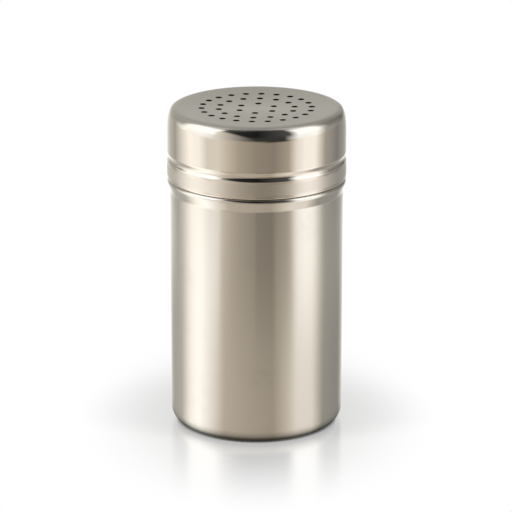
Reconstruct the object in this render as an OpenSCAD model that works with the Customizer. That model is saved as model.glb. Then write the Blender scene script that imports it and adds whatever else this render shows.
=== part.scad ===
// Spice shaker: a deep-drawn steel can, closed by a pressed steel cap with sprinkle holes.
// All sizes are in millimetres and angles in degrees. The can stands on z = 0, on the axis.

/* [Can] */
// Outer diameter of the can's straight wall
can_d = 67.4; // [55:0.1:85]
// Thickness of the can's steel sheet
can_wall = 0.5; // [0.35:0.05:0.8]
// Radius of the rounded edge between the wall and the base
base_edge_r = 5; // [3:0.5:9]
// Width of the flat ring that the can stands on
foot_w = 3; // [1.5:0.5:6]
// How far the panel inside the foot ring is pressed up
panel_rise = 1.2; // [0.4:0.1:3]
// Width of the slope from the foot ring up to the panel
panel_slope_w = 2.6; // [1.5:0.1:6]

/* [Shoulder bead] */
// Height of the shoulder bead's upper edge above the base
bead_h = 99.3; // [70:0.1:140]
// How far the bead stands out from the wall
bead_out = 1.15; // [0.8:0.05:1.3]
// Radius of the bead's rounded upper edge
bead_edge_r = 1.4; // [1:0.1:1.6]
// Slope of the bead's lower face, away from upright
bead_taper = 18; // [10:1:30]
// Radius of the hollow where the bead's lower face meets the wall
bead_foot_r = 2.5; // [1:0.1:8]
// Radius of the hollow between the bead and the neck
bead_neck_r = 0.3; // [0.2:0.05:0.6]

/* [Mouth] */
// How far the mouth stands above the cap's gripping groove
neck_over = 6.5; // [3.5:0.5:8]
// Outer diameter of the mouth's curled-in edge
curl_d = 2.2; // [1.8:0.1:3]
// How far round the edge is curled
curl_turn = 250; // [180:5:270]

/* [Cap] */
// Height of the cap, from its lower edge to its crown
cap_h = 27.8; // [24:0.1:40]
// Thickness of the cap's steel sheet
cap_wall = 0.55; // [0.35:0.05:0.7]
// Height of the folded-in hem along the cap's lower edge
hem_h = 3; // [2:0.5:5]
// Height of the gripping groove's deepest line above the cap's lower edge
groove_h = 8.6; // [7:0.1:11]
// Height of the groove's soft upper side
groove_upper_h = 2.2; // [1.6:0.1:5]
// Height of the groove's short lower side
groove_lower_h = 1.8; // [1.5:0.1:3]
// How far in from the wall the crown's rounding starts
crown_in = 4.6; // [4:0.1:9]
// How far down the wall the crown's rounding ends
crown_drop = 11.9; // [8:0.1:14]
// How full the crown's rounding is, from slack to square
crown_fullness = 0.85; // [0.6:0.01:0.9]
// How far the middle of the top is pressed down
dish_depth = 0.8; // [0.2:0.1:2]

/* [Sprinkle holes] */
// Diameter of each hole
hole_d = 2.3; // [1:0.1:3]
// Radius of the inner ring of holes
inner_ring_r = 7.3; // [5:0.1:9]
// Number of holes in the inner ring
inner_ring_n = 6; // [4:1:8]
// Radius of the middle ring of holes
middle_ring_r = 14.8; // [12:0.1:17]
// Number of holes in the middle ring
middle_ring_n = 14; // [10:1:16]
// Radius of the outer ring of holes
outer_ring_r = 21.4; // [20:0.1:23]
// Number of holes in the outer ring
outer_ring_n = 22; // [16:1:26]
// Direction of the spoke on which every ring starts
first_spoke = 85; // [0:1:359]

/* [Fit] */
// Radial clearance between the cap's groove and the can's neck
grip_clear = 0.05; // [0.02:0.01:0.1]
// Radial clearance between the cap's hem and the can's neck
hem_clear = 0.1; // [0.06:0.01:0.2]
// Gap between the cap's lower edge and the shoulder bead
seat_gap = 0.2; // [0.1:0.05:0.4]

/* [Hidden] */

// Flat facets that a drawn circle gets, and steps along a bend
circle_fn = 96;
bend_steps = 8;
// Room that a cutter keeps beyond what it cuts
cut_room = 1;

can_r = can_d / 2;
curl_r = curl_d / 2;

// The rounded upper edge of the bead, and the hollow that joins it to the neck
bead_c = [can_r + bead_out - bead_edge_r, bead_h - bead_edge_r];
neck_c_r = can_r + bead_neck_r;
neck_c = [neck_c_r, bead_c[1] + leg(bead_edge_r + bead_neck_r, neck_c_r - bead_c[0])];
bead_top_angle = atan2(neck_c[1] - bead_c[1], neck_c[0] - bead_c[0]);

// The tapered lower face of the bead, down to the wall
taper_top = bead_c + bead_edge_r * dir(-bead_taper);
taper_end_z = taper_top[1] - (taper_top[0] - can_r) / tan(bead_taper);
foot_hollow_c = [can_r + bead_foot_r, taper_end_z - bead_foot_r * tan(bead_taper / 2)];

// The cap's wall clears the neck by the folded hem, and its round lower edge rests on the bead
cap_r = can_r + hem_clear + 2 * cap_wall;
hem_c_r = cap_r - cap_wall;
hem_c_z = bead_c[1] + leg(bead_edge_r + seat_gap + cap_wall, hem_c_r - bead_c[0]);
cap_z = hem_c_z - cap_wall;
crown_z = cap_z + cap_h;
crown_r = cap_r - crown_in;
groove_z = cap_z + groove_h;
groove_r = can_r + grip_clear + cap_wall;
mouth_z = groove_z + neck_over;

// The third side of a right-angled triangle, from its longest side and one other
function leg(longest, other) = sqrt(longest * longest - other * other);

// The unit direction at an angle
function dir(angle) = [cos(angle), sin(angle)];

// Points along a circular arc
function arc(centre, r, from, to, steps = bend_steps) =
    [for (i = [0 : steps]) centre + r * dir(from + (to - from) * i / steps)];

// Points along a soft step that starts and ends level with its neighbours
function soft_step(from, to, along, steps = bend_steps) =
    [for (i = [0 : steps])
        let (t = i / steps, s = (1 - cos(180 * t)) / 2)
        along == "r"
            ? [from[0] + (to[0] - from[0]) * t, from[1] + (to[1] - from[1]) * s]
            : [from[0] + (to[0] - from[0]) * s, from[1] + (to[1] - from[1]) * t]];

// Points along a shallow bowl, from its level middle to its rim
function bowl(from, to, steps) =
    [for (i = [0 : steps])
        let (t = i / steps)
        [from[0] + (to[0] - from[0]) * t, from[1] + (to[1] - from[1]) * t * t]];

// Points along the rounding from a start at a slope to an upright end
function rounding(from, to, slope, fullness, steps) =
    let (run = (to[0] - from[0]) * fullness,
         a = from + [run, run * slope],
         b = [to[0], to[1] + (from[1] - to[1]) * fullness])
    [for (i = [0 : steps])
        let (t = i / steps, u = 1 - t)
        u * u * u * from + 3 * u * u * t * a + 3 * u * t * t * b + t * t * t * to];

// A path without the points that repeat the one before
function clean(path) =
    [for (i = [0 : len(path) - 1]) if (i == 0 || norm(path[i] - path[i - 1]) > 0.001) path[i]];

// The unit direction of a path at one of its points, and how sharply it bends there
function heading(path, i) =
    let (a = path[i] - path[max(i - 1, 0)], b = path[min(i + 1, len(path) - 1)] - path[i],
         ua = norm(a) > 0 ? a / norm(a) : b / norm(b), ub = norm(b) > 0 ? b / norm(b) : ua)
    [(ua + ub) / norm(ua + ub), norm(ua + ub) / 2];

// The far face of a sheet that follows a path, to its left (side 1) or right (side -1)
function far_face(path, wall, side) =
    [for (i = [0 : len(path) - 1])
        let (h = heading(path, i), t = h[0])
        path[i] + side * wall / h[1] * [-t[1], t[0]]];

// A path back to front
function reversed(path) = [for (i = [len(path) - 1 : -1 : 0]) path[i]];

// Outer face of the can, from the middle of its base to the end of its curled mouth
function can_path() =
    let (foot_out = can_r - base_edge_r, foot_in = foot_out - foot_w)
    clean(concat(
        [[0, panel_rise]],
        soft_step([foot_in - panel_slope_w, panel_rise], [foot_in, 0], "r"),
        arc([foot_out, base_edge_r], base_edge_r, -90, 0),
        arc(foot_hollow_c, bead_foot_r, 180, 180 - bead_taper, 4),
        arc(bead_c, bead_edge_r, -bead_taper, bead_top_angle),
        arc(neck_c, bead_neck_r, 180 + bead_top_angle, 180, 4),
        arc([can_r - curl_r, mouth_z - curl_r], curl_r, 0, curl_turn, 2 * bend_steps)));

// Outer face of the cap, from the middle of its top to the start of its hem
function cap_path() =
    let (rim_slope = 2 * dish_depth / crown_r)
    clean(concat(
        bowl([0, crown_z - dish_depth], [crown_r, crown_z], 12),
        rounding([crown_r, crown_z], [cap_r, crown_z - crown_drop], rim_slope, crown_fullness,
            2 * bend_steps),
        soft_step([cap_r, groove_z + groove_upper_h], [groove_r, groove_z], "z"),
        soft_step([groove_r, groove_z], [cap_r, groove_z - groove_lower_h], "z"),
        [[cap_r, hem_c_z]]));

// Section of the cap's sheet, with its lower edge folded in and back up
function cap_section() =
    let (outer = cap_path(), inner = far_face(outer, cap_wall, -1), last = len(inner) - 1)
    concat(
        outer,
        [for (p = arc([hem_c_r, hem_c_z], cap_wall, 0, -180)) if (p[0] < cap_r) p],
        [[cap_r - 2 * cap_wall, cap_z + hem_h], [cap_r - cap_wall, cap_z + hem_h]],
        [for (i = [last - 1 : -1 : 0]) inner[i]]);

// One ring of cutters for the sprinkle holes
module hole_ring(ring_r, count) {
    for (i = [0 : count - 1])
        rotate([0, 0, first_spoke + 360 * i / count])
            translate([ring_r, 0, crown_z - dish_depth - cap_wall - cut_room])
                cylinder(d = hole_d, h = dish_depth + cap_wall + 2 * cut_room, $fn = 32);
}

// The can: base with foot ring, straight wall, shoulder bead, neck and curled mouth
module can() {
    path = can_path();
    color([0.73, 0.69, 0.63])
        rotate_extrude($fn = circle_fn)
            polygon(concat(path, reversed(far_face(path, can_wall, 1))));
}

// The cap: dished and perforated top, soft crown, gripping groove, band and hem
module cap() {
    color([0.80, 0.77, 0.72])
        difference() {
            rotate_extrude($fn = circle_fn)
                polygon(cap_section());
            hole_ring(inner_ring_r, inner_ring_n);
            hole_ring(middle_ring_r, middle_ring_n);
            hole_ring(outer_ring_r, outer_ring_n);
        }
}

can();
cap();
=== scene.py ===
"""Spice shaker: a deep-drawn steel can with a pressed, perforated steel cap.

Both pieces are turned from one sheet section each. The cap's sprinkle holes, the steel finishes
and a plain daylight studio are built here too. Lengths are in metres and angles in degrees.
"""

import logging
import math
from dataclasses import dataclass, field
from enum import Enum
from functools import partialmethod
from typing import Callable, Dict, List, Mapping, Optional, Sequence, Tuple, Union

import bpy
from bpy.types import Material, Node, NodeSocket as Socket, Object
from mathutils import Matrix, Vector


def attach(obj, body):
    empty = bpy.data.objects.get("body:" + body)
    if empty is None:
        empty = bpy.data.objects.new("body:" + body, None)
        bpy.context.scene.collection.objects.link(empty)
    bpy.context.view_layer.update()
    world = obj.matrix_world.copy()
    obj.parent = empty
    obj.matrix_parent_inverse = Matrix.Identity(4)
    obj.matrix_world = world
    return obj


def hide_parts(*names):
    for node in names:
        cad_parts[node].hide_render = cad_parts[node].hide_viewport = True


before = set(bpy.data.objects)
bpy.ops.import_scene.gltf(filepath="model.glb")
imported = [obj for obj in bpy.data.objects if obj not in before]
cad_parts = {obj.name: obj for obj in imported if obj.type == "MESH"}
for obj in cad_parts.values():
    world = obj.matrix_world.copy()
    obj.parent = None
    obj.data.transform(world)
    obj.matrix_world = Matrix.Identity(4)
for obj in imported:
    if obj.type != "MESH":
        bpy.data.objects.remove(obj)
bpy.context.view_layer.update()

log = logging.getLogger("spice_shaker")

MM = 0.001
FULL_TURN = 2 * math.pi
SAME_PLACE = 0.001 * MM

Point = Tuple[float, float]
Span = Tuple[float, float]
Colour = Tuple[float, float, float]
Stops = Tuple[Tuple[float, float], ...]
Sockets = bpy.types.bpy_prop_collection
Feed = Union[Socket, float, int, bool, str, Sequence[float]]
Feeds = Mapping[Union[str, int], Feed]

WHITE = (1.0, 1.0, 1.0, 1.0)


class Run(Enum):
    """The coordinate along which a soft step advances evenly."""

    RADIUS = "radius"
    HEIGHT = "height"


class SheetSide(Enum):
    """The side of an outer path on which the sheet's thickness lies."""

    LEFT = 1.0
    RIGHT = -1.0


class RingName(Enum):
    """The three rings of sprinkle holes."""

    INNER = "Inner"
    MIDDLE = "Middle"
    OUTER = "Outer"


# ---- sections


def third_side(longest: float, other: float) -> float:
    """Returns the third side of a right-angled triangle."""
    return math.sqrt(longest * longest - other * other)


def on_circle(centre: Point, radius: float, angle: float) -> Point:
    """Returns the point of a circle at an angle."""
    turn = math.radians(angle)
    return centre[0] + radius * math.cos(turn), centre[1] + radius * math.sin(turn)


def between(a: Point, b: Point, across: float, up: float) -> Point:
    """Returns the point that is one share of the way across and another of the way up."""
    return a[0] + (b[0] - a[0]) * across, a[1] + (b[1] - a[1]) * up


@dataclass
class SectionPath:
    """A path through (radius, height) points that outlines one face of a sheet."""

    points: List[Point] = field(default_factory=list)

    def to(self, point: Point) -> None:
        """Adds a point, unless it repeats the last one."""
        if not self.points or math.dist(self.points[-1], point) > SAME_PLACE:
            self.points.append(point)

    def curve(self, place: Callable[[float], Point], steps: int) -> None:
        """Adds a curve, whose place is known for every share of the way from 0 to 1."""
        for i in range(steps + 1):
            self.to(place(i / steps))

    def arc(self, centre: Point, radius: float, start: float, end: float, steps: int) -> None:
        """Adds a circular arc.

        Args:
            centre: Centre of the arc.
            radius: Radius of the arc.
            start: Angle of its first point.
            end: Angle of its last point.
            steps: Number of chords.
        """
        self.curve(lambda t: on_circle(centre, radius, start + (end - start) * t), steps)

    def soft_step(self, start: Point, end: Point, run: Run, steps: int) -> None:
        """Adds a step that leaves and arrives along the run.

        Args:
            start: First point.
            end: Last point.
            run: Coordinate that advances evenly.
            steps: Number of chords.
        """
        def place(t: float) -> Point:
            """Returns the point at a share of the run."""
            soft = (1 - math.cos(math.pi * t)) / 2
            across, up = (t, soft) if run is Run.RADIUS else (soft, t)
            return between(start, end, across, up)

        self.curve(place, steps)

    def rounding(self, start: Point, end: Point, slope: float, fullness: float,
                 steps: int) -> None:
        """Adds the rounding from a start at a slope to an upright end.

        Args:
            start: First point, where the path has the slope.
            end: Last point, where it is upright.
            slope: Rise for each unit of radius at the start.
            fullness: How square the rounding is, from 0 to 1.
            steps: Number of chords.
        """
        run = (end[0] - start[0]) * fullness
        pulls = (start, (start[0] + run, start[1] + run * slope),
                 (end[0], end[1] + (start[1] - end[1]) * fullness), end)

        def place(t: float) -> Point:
            """Returns the point at a share of the rounding."""
            u = 1 - t
            weights = (u * u * u, 3 * u * u * t, 3 * u * t * t, t * t * t)
            return tuple(sum(w * p[k] for w, p in zip(weights, pulls)) for k in (0, 1))

        self.curve(place, steps)

    def far_face(self, wall: float, side: SheetSide) -> List[Point]:
        """Returns the other face of a sheet whose outer face is this path.

        Args:
            wall: Thickness of the sheet.
            side: Side of the path on which the sheet lies.

        Returns:
            One point for each point of the path.
        """
        runs = [(Vector(b) - Vector(a)).normalized()
                for a, b in zip(self.points, self.points[1:])]
        found = []
        for (r, z), before, after in zip(self.points, runs[:1] + runs, runs + runs[-1:]):
            heading = before + after
            offset = side.value * wall / (heading.length / 2)
            heading.normalize()
            found.append((r - offset * heading.y, z + offset * heading.x))
        return found

    def with_guards(self, guard: float, longest: float) -> "SectionPath":
        """Splits the long straight stretches, so that their shading stays flat.

        Args:
            guard: Length of the short stretch kept at each end.
            longest: Longest stretch that stays whole in between.

        Returns:
            A new path through more points.
        """
        split = SectionPath([self.points[0]])
        for a, b in zip(self.points, self.points[1:]):
            length = math.dist(a, b)
            if length > 3 * guard:
                inner = length - 2 * guard
                pieces = max(1, math.ceil(inner / longest))
                for k in range(pieces + 1):
                    share = (guard + inner * k / pieces) / length
                    split.to(between(a, b, share, share))
            split.to(b)
        return split


def put_in_scene(name: str, data: bpy.types.ID) -> Object:
    """Returns a new object, linked to the scene."""
    made = bpy.data.objects.new(name, data)
    bpy.context.scene.collection.objects.link(made)
    return made


@dataclass
class SheetSection:
    """The closed section of one turned sheet, and which of its points lie inside."""

    points: List[Point]
    inside: List[float]
    side: SheetSide

    def as_line(self, name: str) -> Object:
        """Makes the section a line of vertices that carries the inside attribute.

        Args:
            name: Name of the line.

        Returns:
            The line's object.
        """
        mesh = bpy.data.meshes.new(name)
        edges = [(i, i + 1) for i in range(len(self.points) - 1)]
        mesh.from_pydata([(r, 0, z) for r, z in self.points], edges, [])
        mesh.attributes.new("inside", "FLOAT", "POINT").data.foreach_set("value", self.inside)
        return put_in_scene(name, mesh)


# ---- node wiring


def opaque(colour: Colour) -> Sequence[float]:
    """Returns the colour with full opacity."""
    return (*colour, 1.0)


class Bench:
    """Adds nodes to one tree and wires them."""

    # Brightness for each unit of value that a ramp's stops hold
    ramp_unit = 2.0

    def __init__(self, tree: bpy.types.NodeTree) -> None:
        """Takes the tree that the nodes go into."""
        self.tree = tree

    @classmethod
    def cleared(cls, owner: bpy.types.ID) -> "Bench":
        """Returns the bench of a material's or world's own tree, emptied."""
        owner.use_nodes = True
        owner.node_tree.nodes.clear()
        return cls(owner.node_tree)

    def add(self, kind: str, feeds: Optional[Feeds] = None, **settings: object) -> Node:
        """Adds one node.

        Args:
            kind: Blender's name for the node type.
            feeds: What each input gets, a socket to wire or a plain value.
            settings: Properties of the node itself.

        Returns:
            The new node.
        """
        node = self.tree.nodes.new(kind)
        for name, value in settings.items():
            setattr(node, name, value)
        for key, feed in (feeds or {}).items():
            if isinstance(feed, Socket):
                self.tree.links.new(feed, node.inputs[key])
            else:
                node.inputs[key].default_value = feed
        return node

    def out(self, kind: str, feeds: Optional[Feeds] = None, **settings: object) -> Socket:
        """Adds one node and returns its first output."""
        return self.add(kind, feeds, **settings).outputs[0]

    def maths(self, operation: str, a: Feed, b: Feed = 0.0, clamp: bool = False) -> Socket:
        """Returns the result of one sum."""
        return self.out("ShaderNodeMath", {0: a, 1: b}, operation=operation, use_clamp=clamp)

    # The commonest sums, called without the operation
    plus = partialmethod(maths, "ADD")
    minus = partialmethod(maths, "SUBTRACT")
    times = partialmethod(maths, "MULTIPLY")
    over = partialmethod(maths, "DIVIDE")
    least = partialmethod(maths, "MAXIMUM")

    def ramp(self, value: Feed, span: Span, low: float = 0.0, high: float = 1.0) -> Socket:
        """Returns a smooth change from low to high while the value crosses the span."""
        return self.out("ShaderNodeMapRange", {0: value, 1: span[0], 2: span[1], 3: low, 4: high},
                        interpolation_type="SMOOTHSTEP", clamp=True)

    def by_bearing(self, azimuth: Feed, stops: Stops) -> Socket:
        """Returns a brightness that follows the bearing.

        Args:
            azimuth: Bearing in degrees, 0 in front and 90 to the right.
            stops: Rising bearings and the brightness at each, where 1 is white.

        Returns:
            The brightness.
        """
        turn = self.out("ShaderNodeMapRange", {0: azimuth, 1: -180.0, 2: 180.0, 3: 0.0, 4: 1.0})
        node = self.add("ShaderNodeValToRGB", {"Fac": turn})
        marks = node.color_ramp.elements
        while len(marks) < len(stops):
            marks.new(0.5)
        for mark, (bearing, _) in zip(list(marks), stops):
            mark.position = bearing / 360 + 0.5
        for mark, (_, brightness) in zip(marks, stops):
            mark.color = opaque((brightness / self.ramp_unit,) * 3)
        return self.times(node.outputs["Color"], self.ramp_unit)

    def blend(self, share: Feed, a: Feed, b: Feed) -> Socket:
        """Returns the colour between a and b."""
        return self.add("ShaderNodeMix", {0: share, 6: a, 7: b}, data_type="RGBA").outputs[2]

    def noise(self, place: Feed, scale: float, detail: float, roughness: float) -> Socket:
        """Returns a smooth random value between 0 and 1."""
        return self.out("ShaderNodeTexNoise", {
            "Vector": place, "Scale": scale, "Detail": detail, "Roughness": roughness})

    def place(self) -> Socket:
        """Returns the place in the object's own coordinates."""
        return self.add("ShaderNodeTexCoord").outputs["Object"]

    def parts(self, vector: Feed) -> Sequence[Socket]:
        """Returns the three coordinates of a vector."""
        return tuple(self.add("ShaderNodeSeparateXYZ", {0: vector}).outputs)

    def vector(self, x: Feed, y: Feed, z: Feed) -> Socket:
        """Returns a vector made of three values."""
        return self.out("ShaderNodeCombineXYZ", {0: x, 1: y, 2: z})

    def length(self, vector: Feed) -> Socket:
        """Returns the length of a vector."""
        return self.add("ShaderNodeVectorMath", {0: vector}, operation="LENGTH").outputs["Value"]

    def scaled(self, vector: Feed, by: Feed) -> Socket:
        """Returns a vector or colour times a value."""
        return self.out("ShaderNodeVectorMath", {0: vector, "Scale": by}, operation="SCALE")

    def mixed(self, share: Feed, a: Socket, b: Socket) -> Socket:
        """Returns the shader between a and b."""
        return self.out("ShaderNodeMixShader", {0: share, 1: a, 2: b})


# ---- shared steel effects


class SteelEffect(Bench):
    """A shader node group that gives masks and values for steel, built once."""

    name = "effect"
    takes: Tuple[str, ...] = ()
    gives: Tuple[str, ...] = ()

    def __init__(self) -> None:
        """Builds the group with its named sockets."""
        super().__init__(bpy.data.node_groups.new(self.name, "ShaderNodeTree"))
        for side, names in (("INPUT", self.takes), ("OUTPUT", self.gives)):
            for name in names:
                self.tree.interface.new_socket(name, in_out=side, socket_type="NodeSocketFloat")
        self.fed = self.add("NodeGroupInput").outputs
        self.add("NodeGroupOutput", self.wire())

    def wire(self) -> Feeds:
        """Wires the group and returns what each of its outputs gets."""
        raise NotImplementedError

    def placed(self, bench: Bench, values: Feeds) -> Sockets:
        """Returns the outputs of the group, placed in a material with its own values."""
        return bench.add("ShaderNodeGroup", values, node_tree=self.tree).outputs


class TurnedGrain(SteelEffect):
    """Fine lines round the axis, as turning and polishing leave them."""

    name = "turned_grain"
    takes = ("Pitch", "Length")
    gives = ("Height", "Streaks")
    fine_share = 0.45
    broad_scale = 0.13

    def wire(self) -> Feeds:
        """Stretches noise round the axis, and makes it fine across the sheet's face."""
        x, y, z = self.parts(self.place())
        across = self.minus(self.length(self.vector(x, y, 0.0)), z)
        lines = self.vector(self.over(x, self.fed["Length"]), self.over(y, self.fed["Length"]),
                            self.over(across, self.fed["Pitch"]))
        fine = self.noise(lines, 1.0, detail=3.0, roughness=0.6)
        broad = self.noise(lines, self.broad_scale, detail=2.0, roughness=0.5)
        return {"Height": fine, "Streaks": self.plus(
            self.times(fine, self.fine_share), self.times(broad, 1 - self.fine_share))}


class HandlingMarks(SteelEffect):
    """Faint smudges that handling leaves on bright steel."""

    name = "handling_marks"
    takes = ("Size", "Coverage")
    gives = ("Smudge",)
    bare_edge = 0.75
    edge_drop = 0.5
    steepness = 4.0
    fleck_scale = 5.0
    fleck_span = (0.35, 0.6)

    def wire(self) -> Feeds:
        """Breaks broad patches up with finer ones."""
        place = self.scaled(self.place(), self.over(1.0, self.fed["Size"]))
        patches = self.noise(place, 1.0, detail=2.0, roughness=0.5)
        flecks = self.noise(place, self.fleck_scale, detail=3.0, roughness=0.6)
        edge = self.minus(self.bare_edge, self.times(self.fed["Coverage"], self.edge_drop))
        over = self.times(self.minus(patches, edge), self.steepness, clamp=True)
        return {"Smudge": self.times(over, self.ramp(flecks, self.fleck_span), clamp=True)}


class RubbedBand(SteelEffect):
    """A band round the axis that use has rubbed brighter."""

    name = "rubbed_band"
    takes = ("Band Height", "Reach")
    gives = ("Rub",)
    stroke_scale = 160.0
    stroke_span = (0.4, 0.65)

    def wire(self) -> Feeds:
        """Fades with the distance from the band's height, in broken strokes."""
        place = self.place()
        height = self.parts(place)[2]
        away = self.maths("ABSOLUTE", self.minus(height, self.fed["Band Height"]))
        near = self.minus(1.0, self.over(away, self.fed["Reach"]), clamp=True)
        strokes = self.noise(place, self.stroke_scale, detail=3.0, roughness=0.6)
        return {"Rub": self.times(self.times(near, near), self.ramp(strokes, self.stroke_span))}


@dataclass(frozen=True)
class SteelEffects:
    """The node groups that every steel finish places."""

    grain: TurnedGrain
    marks: HandlingMarks
    rub: RubbedBand


# ---- finishes


@dataclass(frozen=True)
class SatinBand:
    """A stretch of height over which steel is satin."""

    heights: Span
    soft: float
    roughness: float

    def mask(self, bench: Bench, height: Socket) -> Socket:
        """Returns 1 within the band and 0 elsewhere."""
        low, high = self.heights
        return bench.times(bench.ramp(height, (low - self.soft, low + self.soft)),
                           bench.ramp(height, (high - self.soft, high + self.soft), 1.0, 0.0))


@dataclass(frozen=True)
class ShadedDullTop:
    """The upper part of a piece, where its steel is less metallic and its colour is darkened by
    painted shade, which dims the top's bright reflections.
    """

    heights: Span
    tone: float
    metallic: float

    def share(self, bench: Bench, height: Socket, at_full: float) -> Socket:
        """Returns 1 below the shaded part and the given value within it."""
        return bench.ramp(height, self.heights, 1.0, at_full)


@dataclass(frozen=True)
class SteelFinish:
    """A stainless steel finish, satin in bands and bright elsewhere."""

    name: str
    tint: Colour
    bright_roughness: float
    inner_roughness: float
    bands: Tuple[SatinBand, ...]
    anisotropy: float
    grain_pitch: float
    grain_depth: float
    smudge_size: float
    smudge_coverage: float
    rubbed_height: float
    rubbed_reach: float
    shaded_dull_top: Optional[ShadedDullTop] = None
    inner_tint: Colour = (0.52, 0.49, 0.45)
    # painted shade: the bore faces get a near-black colour for the shadow inside the sprinkle
    # holes
    bore_shade_tint: Colour = (0.01, 0.01, 0.01)
    cut_roughness: float = 0.5
    grain_length: float = 30 * MM
    grain_contrast: float = 0.02
    streak_gain: float = 0.04
    smudge_gain: float = 0.03
    smudge_shade: float = 0.05
    rub_gain: float = 0.04
    lay_turn: float = 0.25

    def material(self, effects: SteelEffects) -> Material:
        """Builds the finish.

        Args:
            effects: The shared node groups.

        Returns:
            The material.
        """
        made = bpy.data.materials.new(self.name)
        bench = Bench.cleared(made)
        height = bench.parts(bench.place())[2]
        inside, bore = (bench.add("ShaderNodeAttribute", attribute_name=name).outputs["Fac"]
                        for name in ("inside", "bore"))
        grain = effects.grain.placed(bench, {"Pitch": self.grain_pitch,
                                             "Length": self.grain_length})
        smudge = effects.marks.placed(bench, {"Size": self.smudge_size,
                                              "Coverage": self.smudge_coverage})["Smudge"]
        rub = effects.rub.placed(bench, {"Band Height": self.rubbed_height,
                                         "Reach": self.rubbed_reach})["Rub"]
        streak = bench.minus(grain["Streaks"], 0.5)

        shade = bench.out("ShaderNodeMath", {0: streak, 1: self.grain_contrast, 2: 1.0},
                          operation="MULTIPLY_ADD")
        marks_and_shade = bench.minus(shade, bench.times(smudge, self.smudge_shade))
        metallic: Feed = 1.0
        # Painted shade: the cap's top is darkened and made less metallic, to dim its bright
        # reflections.
        if self.shaded_dull_top:
            marks_and_shade = bench.times(marks_and_shade, self.shaded_dull_top.share(bench, height, self.shaded_dull_top.tone))
            metallic = self.shaded_dull_top.share(bench, height, self.shaded_dull_top.metallic)
        face = bench.blend(inside, opaque(self.tint), opaque(self.inner_tint))
        # Painted shade: the bore faces get a near-black colour for the shadow inside the holes.
        bore_shaded = bench.blend(bore, face, opaque(self.bore_shade_tint))

        rough: Feed = self.bright_roughness
        for band in self.bands:
            rough = bench.plus(rough, bench.times(band.mask(bench, height),
                                                  band.roughness - self.bright_roughness))
        for mark, gain in ((streak, self.streak_gain), (smudge, self.smudge_gain),
                           (rub, -self.rub_gain)):
            rough = bench.plus(rough, bench.times(mark, gain))
        for mask, least in ((inside, self.inner_roughness), (bore, self.cut_roughness)):
            rough = bench.least(rough, bench.times(mask, least), clamp=True)

        bump = bench.out("ShaderNodeBump", {"Strength": 1.0, "Distance": self.grain_depth,
                                            "Height": grain["Height"]})
        lay = bench.out("ShaderNodeTangent", direction_type="RADIAL", axis="Z")
        steel = bench.out("ShaderNodeBsdfPrincipled", {
            "Base Color": bench.scaled(bore_shaded, marks_and_shade), "Roughness": rough, "Metallic": metallic,
            "Anisotropic": self.anisotropy, "Anisotropic Rotation": self.lay_turn,
            "Normal": bump, "Tangent": lay})
        bench.add("ShaderNodeOutputMaterial", {"Surface": steel})
        return made


# ---- geometry nodes


class PieceTree(Bench):
    """A Geometry Nodes tree with named inputs, put on a piece as a modifier."""

    name = "tree"
    takes: Tuple[Tuple[str, str], ...] = ()

    def __init__(self) -> None:
        """Builds the tree, which ends in realised instances and a set material."""
        super().__init__(bpy.data.node_groups.new(self.name, "GeometryNodeTree"))
        face = self.tree.interface
        for side in ("INPUT", "OUTPUT"):
            face.new_socket("Geometry", in_out=side, socket_type="NodeSocketGeometry")
        self.keys = {label: face.new_socket(label, in_out="INPUT",
                                            socket_type=f"NodeSocket{kind}").identifier
                     for label, kind in (*self.takes, ("Steel", "Material"))}
        self.fed = self.add("NodeGroupInput").outputs
        smooth = self.out("GeometryNodeSetShadeSmooth", {
            "Geometry": self.wire(), "Shade Smooth": True})
        whole = self.out("GeometryNodeRealizeInstances", {"Geometry": smooth})
        self.add("NodeGroupOutput", {0: self.out("GeometryNodeSetMaterial", {
            "Geometry": whole, "Material": self.fed["Steel"]})})

    def wire(self) -> Socket:
        """Wires the tree's own part and returns its geometry."""
        raise NotImplementedError

    def put_on(self, piece: Object, values: Mapping[str, object]) -> None:
        """Puts the tree on a piece.

        Args:
            piece: Object that gets the modifier.
            values: What each named input gets.
        """
        modifier = piece.modifiers.new(self.name, "NODES")
        modifier.node_group = self.tree
        for label, value in values.items():
            modifier[self.keys[label]] = value


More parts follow.
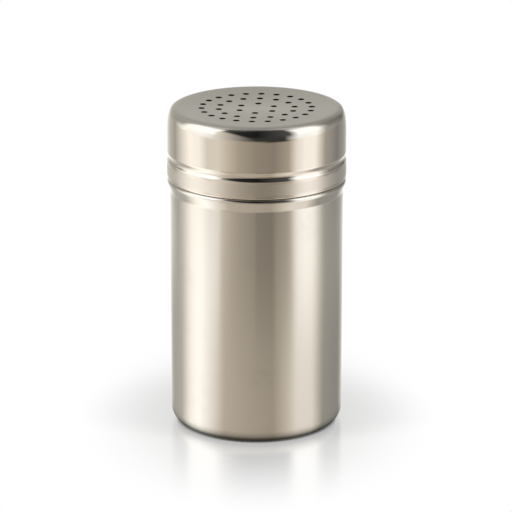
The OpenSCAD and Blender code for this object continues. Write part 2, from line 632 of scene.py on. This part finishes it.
class TurnedSheet(PieceTree):
    """Turns the line of a closed section about the z axis."""

    name = "turned_sheet"
    takes = (("Columns", "Int"), ("Face Out", "Bool"))
    columns = 192

    def wire(self) -> Socket:
        """Bends a grid round the axis: its columns turn, and its rows follow the section."""
        rows = self.out("GeometryNodeAttributeDomainSize", {"Geometry": self.fed["Geometry"]},
                        component="MESH")
        grid = self.out("GeometryNodeMeshGrid", {
            "Size X": 1.0, "Size Y": 1.0,
            "Vertices X": self.plus(self.fed["Columns"], 1.0), "Vertices Y": rows})
        place = self.out("GeometryNodeInputPosition")
        x, y, _ = self.parts(place)
        turn = self.times(self.plus(x, 0.5), FULL_TURN)
        row = self.maths("ROUND", self.times(self.plus(y, 0.5), self.minus(rows, 1.0)))

        def of_row(value: Socket, kind: str) -> Socket:
            """Returns the value that the section's vertex has for a row."""
            return self.out("GeometryNodeSampleIndex", {
                "Geometry": self.fed["Geometry"], "Index": row, "Value": value},
                data_type=kind, domain="POINT")

        inside = self.out("GeometryNodeInputNamedAttribute", {"Name": "inside"},
                          data_type="FLOAT")
        kept = self.out("GeometryNodeStoreNamedAttribute", {
            "Geometry": grid, "Name": "inside", "Value": of_row(inside, "FLOAT")},
            data_type="FLOAT", domain="POINT")
        radius, _, height = self.parts(of_row(place, "FLOAT_VECTOR"))
        bent = self.out("GeometryNodeSetPosition", {"Geometry": kept, "Position": self.vector(
            self.times(radius, self.maths("COSINE", turn)),
            self.times(radius, self.maths("SINE", turn)), height)})
        closed = self.out("GeometryNodeMergeByDistance", {"Geometry": bent,
                                                          "Distance": SAME_PLACE})
        return self.out("GeometryNodeFlipFaces", {
            "Mesh": closed, "Selection": self.minus(1.0, self.fed["Face Out"])})

    def turned(self, name: str, section: SheetSection, steel: Material) -> Object:
        """Makes a new piece that this tree turns from a section.

        Args:
            name: Name of the piece.
            section: What is turned.
            steel: Finish of the piece.

        Returns:
            The piece, with its modifier.
        """
        piece = section.as_line(name)
        self.put_on(piece, {"Columns": self.columns, "Steel": steel,
                            "Face Out": section.side is SheetSide.LEFT})
        return piece


class SprinkleHoles(PieceTree):
    """Cuts three rings of round holes, each with a softly rounded upper rim."""

    name = "sprinkle_holes"
    takes = (("Hole Radius", "Float"), ("Rim Rounding", "Float"), ("Sheet", "Float"),
             ("First Spoke", "Float"),
             *((f"{ring.value} {what}", kind) for ring in RingName
               for what, kind in (("Radius", "Float"), ("Height", "Float"), ("Count", "Int"))))
    facets = 32
    bar_steps = 14
    sheets_deep = 1.6
    rims_over = 1.5
    rise_most = 2.0
    flare_power = 2.0

    def wire(self) -> Socket:
        """Places one flared punch on every ring point and cuts the sheet with them all."""
        punch = self.punch()
        rings = self.add("GeometryNodeJoinGeometry")
        for ring in RingName:
            circle = self.out("GeometryNodeMeshCircle", {
                "Vertices": self.fed[f"{ring.value} Count"],
                "Radius": self.fed[f"{ring.value} Radius"]}, fill_type="NONE")
            spots = self.out("GeometryNodeTransform", {
                "Geometry": circle,
                "Translation": self.vector(0.0, 0.0, self.fed[f"{ring.value} Height"]),
                "Rotation": self.vector(0.0, 0.0, self.fed["First Spoke"])})
            punches = self.out("GeometryNodeInstanceOnPoints", {"Points": spots,
                                                                "Instance": punch})
            self.tree.links.new(punches, rings.inputs[0])
        whole = self.out("GeometryNodeRealizeInstances", {"Geometry": rings.outputs[0]})
        return self.out("GeometryNodeMeshBoolean", {
            "Mesh 1": self.fed["Geometry"], "Mesh 2": whole},
            operation="DIFFERENCE", solver="MANIFOLD")

    def punch(self) -> Socket:
        """Returns the punch: a round bar that flares where it leaves the sheet's upper face."""
        rim = self.fed["Rim Rounding"]
        over = self.times(rim, self.rims_over)
        depth = self.plus(self.times(self.fed["Sheet"], self.sheets_deep), over)
        bar = self.out("GeometryNodeMeshCylinder", {
            "Vertices": self.facets, "Side Segments": self.bar_steps,
            "Radius": self.fed["Hole Radius"], "Depth": depth}, fill_type="NGON")
        low = self.out("GeometryNodeTransform", {"Geometry": bar, "Translation": self.vector(
            0.0, 0.0, self.minus(over, self.times(depth, 0.5)))})
        x, y, z = self.parts(self.out("GeometryNodeInputPosition"))
        rise = self.least(self.over(self.plus(z, rim), rim), 0.0)
        rise = self.maths("MINIMUM", rise, self.rise_most)
        flare = self.times(self.maths("POWER", rise, self.flare_power), rim)
        away = self.out("ShaderNodeVectorMath", {0: self.vector(x, y, 0.0)},
                        operation="NORMALIZE")
        return self.out("GeometryNodeSetPosition", {"Geometry": low,
                                                    "Offset": self.scaled(away, flare)})


def settled(piece: Object, sharp_from: float) -> Object:
    """Turns a piece's modifiers into a plain mesh and marks its sharp edges.

    Args:
        piece: Object with live modifiers.
        sharp_from: Angle between faces from which an edge counts as sharp.

    Returns:
        The same object, with no modifier.
    """
    graph = bpy.context.evaluated_depsgraph_get()
    mesh = bpy.data.meshes.new_from_object(piece.evaluated_get(graph))
    piece.modifiers.clear()
    piece.data = mesh
    mesh.name = piece.name
    mesh.set_sharp_from_angle(angle=math.radians(sharp_from))
    return piece


# ---- the can


@dataclass
class Can:
    """The can: base with foot ring, straight wall, shoulder bead, neck and curled mouth."""

    radius: float = 33.7 * MM
    wall: float = 0.5 * MM
    base_edge_r: float = 5.0 * MM
    foot_w: float = 3.0 * MM
    panel_rise: float = 1.2 * MM
    panel_slope_w: float = 2.6 * MM
    bead_h: float = 99.3 * MM
    bead_out: float = 1.15 * MM
    bead_edge_r: float = 1.4 * MM
    bead_taper: float = 18.0
    bead_foot_r: float = 2.5 * MM
    bead_neck_r: float = 0.3 * MM
    curl_r: float = 1.1 * MM
    curl_turn: float = 250.0
    sharp_from: float = 35.0

    @property
    def bead_centre(self) -> Point:
        """Returns the centre of the bead's rounded upper edge."""
        return self.radius + self.bead_out - self.bead_edge_r, self.bead_h - self.bead_edge_r

    def outer_path(self, mouth_z: float) -> SectionPath:
        """Returns the outer face, from the middle of the base to the end of the curl.

        Args:
            mouth_z: Height of the mouth.

        Returns:
            The path.
        """
        foot_out = self.radius - self.base_edge_r
        foot_in = foot_out - self.foot_w
        bead = self.bead_centre
        neck_r = self.radius + self.bead_neck_r
        neck = (neck_r, bead[1] + third_side(self.bead_edge_r + self.bead_neck_r,
                                             neck_r - bead[0]))
        bead_top = math.degrees(math.atan2(neck[1] - bead[1], neck[0] - bead[0]))
        taper = math.radians(self.bead_taper)
        top = on_circle(bead, self.bead_edge_r, -self.bead_taper)
        taper_end = top[1] - (top[0] - self.radius) / math.tan(taper)
        hollow = (self.radius + self.bead_foot_r,
                  taper_end - self.bead_foot_r * math.tan(taper / 2))
        curl = (self.radius - self.curl_r, mouth_z - self.curl_r)
        path = SectionPath([(0.0, self.panel_rise)])
        path.soft_step((foot_in - self.panel_slope_w, self.panel_rise), (foot_in, 0.0),
                       Run.RADIUS, steps=10)
        path.arc((foot_out, self.base_edge_r), self.base_edge_r, -90, 0, steps=20)
        path.arc(hollow, self.bead_foot_r, 180, 180 - self.bead_taper, steps=10)
        path.arc(bead, self.bead_edge_r, -self.bead_taper, bead_top, steps=14)
        path.arc(neck, self.bead_neck_r, 180 + bead_top, 180, steps=5)
        path.arc(curl, self.curl_r, 0, self.curl_turn, steps=26)
        return path.with_guards(guard=0.35 * MM, longest=9 * MM)

    def section(self, mouth_z: float) -> SheetSection:
        """Returns the closed section of the can's sheet.

        Args:
            mouth_z: Height of the mouth.

        Returns:
            The section.
        """
        outer = self.outer_path(mouth_z)
        inner = outer.far_face(self.wall, SheetSide.LEFT)
        inner[0] = (0.0, inner[0][1])
        flags = [0.0] * len(outer.points) + [1.0] * len(inner)
        return SheetSection(outer.points + inner[::-1], flags, SheetSide.LEFT)

    def build(self, tree: TurnedSheet, steel: Material, mouth_z: float) -> Object:
        """Builds the can's shell.

        Args:
            tree: Tree that turns a section.
            steel: Finish of the can.
            mouth_z: Height of the mouth.

        Returns:
            The finished piece.
        """
        return settled(tree.turned("can_shell", self.section(mouth_z), steel), self.sharp_from)

    def dress(self, shell: Object) -> None:
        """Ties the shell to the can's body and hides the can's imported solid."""
        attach(shell, "can")
        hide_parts("can")


# ---- the cap


@dataclass(frozen=True)
class HoleRing:
    """One ring of sprinkle holes."""

    radius: float
    count: int


@dataclass
class Cap:
    """The cap: dished and perforated top, soft crown, gripping groove, band and folded hem."""

    can: Can
    height: float = 27.8 * MM
    wall: float = 0.55 * MM
    hem_h: float = 3.0 * MM
    hem_clear: float = 0.1 * MM
    seat_gap: float = 0.2 * MM
    grip_clear: float = 0.05 * MM
    groove_h: float = 8.6 * MM
    groove_upper_h: float = 2.2 * MM
    groove_lower_h: float = 1.8 * MM
    neck_over: float = 6.5 * MM
    crown_in: float = 4.6 * MM
    crown_drop: float = 11.9 * MM
    crown_fullness: float = 0.85
    dish_depth: float = 0.8 * MM
    hole_r: float = 1.15 * MM
    rim_rounding: float = 0.16 * MM
    first_spoke: float = 85.0
    rings: Dict[RingName, HoleRing] = field(default_factory=lambda: {
        RingName.INNER: HoleRing(7.3 * MM, 6),
        RingName.MIDDLE: HoleRing(14.8 * MM, 14),
        RingName.OUTER: HoleRing(21.4 * MM, 22)})
    guard: float = 0.3 * MM
    sharp_from: float = 18.0
    upright_below: float = 0.9

    def __post_init__(self) -> None:
        """Works the other places out: the hem clears the neck and rests on the bead's edge."""
        bead = self.can.bead_centre
        self.radius = self.can.radius + self.hem_clear + 2 * self.wall
        hem_r = self.radius - self.wall
        reach = self.can.bead_edge_r + self.seat_gap + self.wall
        self.hem_centre = (hem_r, bead[1] + third_side(reach, hem_r - bead[0]))
        self.low = self.hem_centre[1] - self.wall
        self.crown = (self.radius - self.crown_in, self.low + self.height)
        self.groove_z = self.low + self.groove_h
        self.mouth_z = self.groove_z + self.neck_over

    def top_at(self, radius: float) -> float:
        """Returns the height of the dished top at a radius."""
        return self.crown[1] - self.dish_depth * (1 - min(radius / self.crown[0], 1.0) ** 2)

    def outer_path(self) -> SectionPath:
        """Returns the outer face, from the middle of the top to the start of the hem."""
        r, groove = self.radius, (self.can.radius + self.grip_clear + self.wall, self.groove_z)
        path = SectionPath()
        path.curve(lambda t: (self.crown[0] * t, self.top_at(self.crown[0] * t)), steps=24)
        path.rounding(self.crown, (r, self.crown[1] - self.crown_drop),
                      2 * self.dish_depth / self.crown[0], self.crown_fullness, steps=36)
        path.soft_step((r, self.groove_z + self.groove_upper_h), groove, Run.HEIGHT, steps=14)
        path.soft_step(groove, (r, self.groove_z - self.groove_lower_h), Run.HEIGHT, steps=14)
        path.to((r, self.hem_centre[1]))
        return path.with_guards(self.guard, longest=6 * MM)

    def section(self) -> SheetSection:
        """Returns the closed section of the cap's sheet, with its edge folded in and back up."""
        outer = self.outer_path()
        inner = outer.far_face(self.wall, SheetSide.RIGHT)[:-1]
        inner[0] = (0.0, inner[0][1])
        count = len(outer.points)
        outer.arc(self.hem_centre, self.wall, 0, -180, steps=14)
        folded = SectionPath([outer.points[-1]])
        folded.to((self.radius - 2 * self.wall, self.low + self.hem_h))
        folded.to((self.radius - self.wall, self.low + self.hem_h))
        hem = outer.points[count:] + folded.with_guards(self.guard, longest=3 * MM).points[1:]
        flags = [0.0] * count + [float(z >= self.low + self.wall) for _, z in hem]
        return SheetSection(outer.points[:count] + hem + inner[::-1],
                            flags + [1.0] * len(inner), SheetSide.RIGHT)

    def build(self, tree: TurnedSheet, holes: SprinkleHoles, steel: Material) -> Object:
        """Builds the cap's perforated shell.

        Args:
            tree: Tree that turns a section.
            holes: Tree that cuts the sprinkle holes.
            steel: Finish of the cap.

        Returns:
            The finished piece.
        """
        shell = tree.turned("cap_shell", self.section(), steel)
        values: Dict[str, object] = {
            "Hole Radius": self.hole_r, "Rim Rounding": self.rim_rounding, "Sheet": self.wall,
            "First Spoke": math.radians(self.first_spoke), "Steel": steel}
        for name, ring in self.rings.items():
            values[f"{name.value} Radius"] = ring.radius
            values[f"{name.value} Height"] = self.top_at(ring.radius)
            values[f"{name.value} Count"] = ring.count
        holes.put_on(shell, values)
        return self.with_bores(settled(shell, self.sharp_from))

    def with_bores(self, shell: Object) -> Object:
        """Marks the faces of the punched bores, which get a rough finish and painted shade: a
        near-black colour for the shadowed inside of the holes.

        Args:
            shell: The perforated shell.

        Returns:
            The shell.
        """
        reach = max(ring.radius for ring in self.rings.values()) + 2 * self.hole_r
        floor = self.top_at(0.0) - 1.5 * self.wall
        shell.data.attributes.new("bore", "FLOAT", "FACE").data.foreach_set("value", [
            float(face.center.z > floor and face.center.xy.length < reach
                  and abs(face.normal.z) < self.upright_below) for face in shell.data.polygons])
        return shell

    def dress(self, shell: Object) -> None:
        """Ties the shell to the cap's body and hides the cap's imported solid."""
        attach(shell, "cap")
        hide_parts("cap")


# ---- the studio


@dataclass(frozen=True)
class Softbox:
    """A flat, evenly lit lamp beside the object, whose image in steel the surround gives."""

    name: str
    azimuth: float
    half_angle: float
    distance: float
    height: float
    radiance: float = 1.38

    def build(self) -> None:
        """Sets the lamp up, on the floor and turned to the object."""
        turn, half = math.radians(self.azimuth), math.radians(self.half_angle)
        lamp = bpy.data.lights.new(self.name, "AREA")
        lamp.shape = "RECTANGLE"
        lamp.size, lamp.size_y = 2 * self.distance * math.tan(half), self.height
        lamp.energy = self.radiance * math.pi * lamp.size * lamp.size_y
        stand = put_in_scene(self.name, lamp)
        stand.location = (self.distance * math.sin(turn), -self.distance * math.cos(turn),
                          self.height / 2)
        stand.rotation_euler = (math.radians(90), 0, turn)
        stand.visible_camera = stand.visible_glossy = False


@dataclass(frozen=True)
class Glow:
    """Light laid out by bearing in rows of brightness, warm in front where it is dim."""

    rows: Tuple[Stops, ...]
    spans: Tuple[Span, ...]
    dim_tint: Colour
    bright_tint: Colour
    back_tint: Colour
    warm_span: Span = (0.5, 1.5)
    back_span: Span = (75.0, 110.0)

    def colour(self, bench: Bench, azimuth: Socket, along: Socket) -> Socket:
        """Returns the light of a bearing.

        Args:
            bench: Where its nodes go.
            azimuth: Bearing in degrees.
            along: Measure over whose spans each row gives way to the next one.

        Returns:
            The colour.
        """
        strength = bench.by_bearing(azimuth, self.rows[0])
        for row, span in zip(self.rows[1:], self.spans):
            strength = bench.out("ShaderNodeMix", {
                0: bench.ramp(along, span), 2: strength, 3: bench.by_bearing(azimuth, row)},
                data_type="FLOAT")
        tint = bench.blend(bench.ramp(strength, self.warm_span), opaque(self.dim_tint),
                           opaque(self.bright_tint))
        aside = bench.ramp(bench.maths("ABSOLUTE", azimuth), self.back_span)
        return bench.scaled(bench.blend(aside, tint, opaque(self.back_tint)), strength)


@dataclass(frozen=True)
class Floor:
    """The pale, softly glossy floor, and how bright the steel sees it."""

    radius: float = 3.0
    sides: int = 96
    tint: Colour = (0.93, 0.945, 0.965)
    wall_radius: float = Can.radius
    bearing_rounds: int = 3
    glow: Glow = Glow(
        rows=(
            ((-180, 1.1), (-150, 0.5), (-120, 0.65), (-100, 1.5), (-84, 1.7), (-44, 0.7), (0, 0.6),
             (22, 0.55), (56, 1.1), (80, 1.1), (100, 0.45), (145, 0.35), (180, 1.1)),
            ((-180, 1.35), (-130, 0.65), (-115, 0.85), (-99, 1.6), (-82, 1.85), (-53, 1.6),
             (-47, 0.7), (-33, 0.45), (-3, 0.35), (0, 0.05), (22, 0.05), (26, 0.4), (46, 0.25),
             (56, 1.7), (68, 2.1), (80, 1.95), (105, 0.6), (145, 0.55), (180, 1.35)),
            ((-180, 1.3), (-150, 0.7), (-128, 0.5), (-95, 1.5), (-78, 1.4), (-66, 1.0), (-50, 1.0),
             (-22, 0.55), (0, 0.4), (22, 0.35), (41, 0.55), (52, 1.15), (64, 1.4), (80, 1.4),
             (98, 0.5), (125, 0.3), (155, 0.5), (180, 1.2)),
            ((-180, 1.1), (-128, 0.5), (-110, 1.4), (-74, 1.4), (-22, 0.55), (4, 0.3), (16, 0.05),
             (38, 0.05), (56, 1.3), (82, 1.5), (100, 0.5), (145, 0.3), (180, 1.1))),
        spans=((0.13, 0.34), (0.295, 0.345), (1.2, 2.0)),
        dim_tint=(1.0, 0.89, 0.75), bright_tint=(1.0, 0.975, 0.955), back_tint=(1.0, 0.97, 0.92))
    # Painted shade in what steel mirrors of the floor near the base; dark and dark_span give a
    # thin painted contact shadow at the foot.
    shade: float = 0.65
    shade_span: Span = (0.034, 0.046)
    dark: float = 0.12
    dark_span: Span = (0.031, 0.036)
    gloss: float = 0.54
    gloss_span: Span = (0.020, 0.110)
    gloss_roughness: float = 0.16
    gloss_haste: float = 1.5
    white_least: float = 0.70
    white_span: Span = (0.040, 0.075)
    front_haste: float = 2.0
    contact_span: Span = (0.0308, 0.0328)

    def build(self) -> None:
        """Builds the floor, a round sheet just under the object."""
        mesh = bpy.data.meshes.new("floor")
        rim = [(*on_circle((0, 0), self.radius, 90 + 360 * k / self.sides), 0)
               for k in range(self.sides)]
        mesh.from_pydata(rim, [], [range(self.sides)])
        mesh.materials.append(self.material())
        floor = put_in_scene("floor", mesh)

    def material(self) -> Material:
        """Returns the floor's finish: pale, softly glossy, and white from afar."""
        made = bpy.data.materials.new("floor")
        bench = Bench.cleared(made)
        place = bench.place()
        away = bench.length(place)
        glow = self.glow.colour(bench, self.mirrored_bearing(bench, place, away), away)
        # For glossy rays the floor is painted light: a glow laid out by bearing, with painted
        # shade and a painted contact shadow near the base.
        shine = bench.out("ShaderNodeEmission", {"Color": glow, "Strength": bench.times(
            bench.ramp(away, self.shade_span, self.shade),
            bench.ramp(away, self.dark_span, self.dark))})
        mirrored = bench.add("ShaderNodeLightPath").outputs["Is Glossy Ray"]
        looks = bench.mixed(mirrored, self.sheet(bench, place, away), shine)
        below = bench.add("ShaderNodeNewGeometry").outputs["Backfacing"]
        bench.add("ShaderNodeOutputMaterial", {"Surface": bench.mixed(
            below, looks, bench.out("ShaderNodeBsdfTransparent"))})
        return made

    def mirrored_bearing(self, bench: Bench, place: Socket, away: Socket) -> Socket:
        """Returns the bearing at which the can's round wall mirrors a place on the floor.

        Args:
            bench: Where its nodes go.
            place: The place.
            away: Its distance from the axis.

        Returns:
            The bearing in degrees.
        """
        x, y, _ = bench.parts(place)
        plain = bench.maths("ARCTAN2", x, bench.times(y, -1.0))
        ratio = bench.over(self.wall_radius, bench.least(away, self.wall_radius))
        bearing = plain
        for _ in range(self.bearing_rounds):
            lean = bench.times(ratio, bench.maths("SINE", bench.times(bearing, 0.5)))
            bearing = bench.plus(plain, bench.maths("ARCSINE", lean))
        return bench.maths("DEGREES", bearing)

    def sheet(self, bench: Bench, place: Socket, away: Socket) -> Socket:
        """Returns what the eye sees: a matt floor that turns white, under a gloss that fades.

        Args:
            bench: Where its nodes go.
            place: The place on the floor.
            away: Its distance from the axis.

        Returns:
            The shader.
        """
        x, y, _ = bench.parts(place)
        matt = bench.out("ShaderNodeBsdfDiffuse", {"Color": opaque(self.tint)})
        white = bench.out("ShaderNodeEmission", {"Color": WHITE})
        before = bench.times(bench.maths("MINIMUM", y, 0.0), self.front_haste)
        reach = bench.length(bench.vector(x, bench.plus(bench.least(y, 0.0), before), 0.0))
        pale = bench.mixed(bench.times(
            bench.ramp(away, self.contact_span),
            bench.ramp(reach, self.white_span, self.white_least)), matt, white)
        mirror = bench.out("ShaderNodeBsdfGlossy", {
            "Color": WHITE, "Roughness": self.gloss_roughness})
        spread = bench.length(bench.vector(bench.times(x, self.gloss_haste), y, 0.0))
        return bench.mixed(bench.ramp(spread, self.gloss_span, self.gloss, 0.0), pale, mirror)


@dataclass(frozen=True)
class Surround:
    """What surrounds the floor: a pale backdrop, a tall light on each side, a dark front."""

    glow: Glow = Glow(
        rows=(
            ((-180, 1.1), (-150, 0.55), (-128, 0.5), (-106, 1.5), (-74, 1.45), (-56, 1.1),
             (-48, 0.1), (0, 0.05), (36, 0.05), (54, 1.35), (82, 1.5), (100, 0.5), (145, 0.2),
             (170, 0.5), (180, 1.1)),
            ((-180, 0.6), (-135, 0.45), (-114, 0.5), (-101, 1.65), (-54, 1.65), (-48, 0.1),
             (-27, 0.03), (0, 0.015), (44, 0.1), (56, 1.6), (88, 1.6), (98, 0.7), (108, 0.3),
             (145, 0.2), (180, 0.6)),
            ((-180, 0.3), (-144, 0.45), (-100, 0.9), (-80, 0.9), (-72, 0.4), (-54, 0.13),
             (-27, 0.12), (0, 0.03), (45, 0.08), (58, 0.2), (72, 0.85), (90, 1.2), (144, 0.4),
             (180, 0.3))),
        spans=((0.0, 14.0), (38.0, 62.0)),
        dim_tint=(1.0, 1.01, 1.02), bright_tint=(1.0, 1.02, 1.07), back_tint=(1.0, 1.0, 0.955))
    fill: float = 0.46
    bounce: Colour = (1.08, 1.03, 0.95)
    bounce_from: float = -54.0
    bounce_height: float = 40.0
    bounce_least: float = 1.5
    bounce_fade: float = 1.4
    bounce_top: Span = (0.55, 1.25)
    bounce_end: Span = (-60.0, -50.0)

    def build(self) -> None:
        """Builds the world: white to the camera, and a room to reflections."""
        world = bpy.data.worlds.new("surround")
        bpy.context.scene.world = world
        bench = Bench.cleared(world)
        x, y, z = bench.parts(bench.add("ShaderNodeTexCoord").outputs["Generated"])
        azimuth = bench.maths("DEGREES", bench.maths("ARCTAN2", x, bench.times(y, -1.0)))
        up = bench.maths("DEGREES", bench.maths("ARCSINE", z))
        room = bench.blend(self.bounced(bench, azimuth, up),
                           self.glow.colour(bench, azimuth, up), opaque(self.bounce))
        path = bench.add("ShaderNodeLightPath").outputs
        mirrored = bench.least(path["Is Glossy Ray"], path["Is Transmission Ray"])
        scene = bench.blend(mirrored, opaque((self.fill,) * 3), room)
        around = bench.blend(path["Is Camera Ray"], scene, WHITE)
        bench.add("ShaderNodeOutputWorld", {"Surface": bench.out("ShaderNodeBackground", {
            "Color": around, "Strength": 1.0})})

    def bounced(self, bench: Bench, azimuth: Socket, up: Socket) -> Socket:
        """Wires a low reflector that sinks from the left lamp to the middle.

        Args:
            bench: Where its nodes go.
            azimuth: Bearing in degrees.
            up: Elevation in degrees.

        Returns:
            Its share of the light.
        """
        along = bench.over(azimuth, self.bounce_from, clamp=True)
        reach = bench.least(bench.times(along, self.bounce_height), self.bounce_least)
        rise = bench.over(bench.least(up, 0.0), reach)
        under = bench.times(bench.ramp(rise, self.bounce_top, 1.0, 0.0),
                            bench.maths("POWER", along, self.bounce_fade))
        return bench.times(under, bench.ramp(azimuth, self.bounce_end))


@dataclass(frozen=True)
class Viewpoint:
    """The camera: far off, a little above, and level."""

    distance: float = 1.1992
    aside: float = -0.00023
    height: float = 0.4387
    pitch: float = 17.249
    roll: float = 0.05
    lens: float = 224.5
    sensor: float = 36.0

    def build(self) -> None:
        """Sets the scene's camera up."""
        lens = bpy.data.cameras.new("viewpoint")
        lens.lens, lens.sensor_width = self.lens, self.sensor
        camera = put_in_scene("viewpoint", lens)
        camera.rotation_mode = "ZXY"
        camera.rotation_euler = (math.radians(90 - self.pitch), 0, math.radians(self.roll))
        camera.location = (self.aside, -self.distance, self.height)
        bpy.context.scene.camera = camera


@dataclass(frozen=True)
class Studio:
    """Floor, surround, lamps and camera."""

    floor: Floor = Floor()
    surround: Surround = Surround()
    lamps: Tuple[Softbox, ...] = (
        Softbox("left_softbox", -87.0, half_angle=26.0, distance=0.55, height=1.00),
        Softbox("right_softbox", 68.5, half_angle=22.5, distance=0.62, height=1.10))
    viewpoint: Viewpoint = Viewpoint()

    def build(self) -> None:
        """Sets the whole studio up."""
        for part in (self.floor, self.surround, *self.lamps, self.viewpoint):
            part.build()
        bpy.context.scene.view_settings.view_transform = "Standard"


# ---- assembly


CAN_STEEL = SteelFinish(
    name="satin_steel", tint=(0.64, 0.615, 0.56), bright_roughness=0.09, inner_roughness=0.40,
    bands=(SatinBand((1.5 * MM, 94.0 * MM), 1.2 * MM, roughness=0.21),),
    anisotropy=0.92, grain_pitch=0.16 * MM, grain_depth=0.0002 * MM,
    smudge_size=17 * MM, smudge_coverage=0.4, rubbed_height=98.4 * MM, rubbed_reach=1.6 * MM)

CAP_STEEL = SteelFinish(
    name="polished_steel", tint=(0.66, 0.62, 0.555), bright_roughness=0.06, inner_roughness=0.34,
    bands=(SatinBand((100.6 * MM, 105.6 * MM), 0.8 * MM, roughness=0.38),
           SatinBand((126.2 * MM, 130.0 * MM), 0.2 * MM, roughness=0.32)),
    anisotropy=0.45, grain_pitch=0.12 * MM, grain_depth=0.0001 * MM,
    smudge_size=13 * MM, smudge_coverage=0.35, rubbed_height=100.0 * MM, rubbed_reach=1.4 * MM,
    # painted shade on the cap's top: its colour is darkened to 0.78 there
    shaded_dull_top=ShadedDullTop((126.0 * MM, 126.7 * MM), tone=0.78, metallic=0.72))


def report(piece: Object) -> None:
    """Logs what a piece amounts to."""
    piece.data.calc_loop_triangles()
    log.info("%s: %d vertices, %d triangles", piece.name, len(piece.data.vertices),
             len(piece.data.loop_triangles))


def main() -> None:
    """Builds the can, the cap and the studio."""
    logging.basicConfig(level=logging.INFO, format="%(name)s: %(message)s")
    effects = SteelEffects(TurnedGrain(), HandlingMarks(), RubbedBand())
    turning = TurnedSheet()

    can = Can()
    cap = Cap(can)
    can_shell = can.build(turning, CAN_STEEL.material(effects), cap.mouth_z)
    can.dress(can_shell)
    report(can_shell)

    cap_shell = cap.build(turning, SprinkleHoles(), CAP_STEEL.material(effects))
    cap.dress(cap_shell)
    report(cap_shell)

    studio = Studio()
    studio.build()
    log.info("studio: %d lamps", len(studio.lamps))


if __name__ == "__main__":
    main()
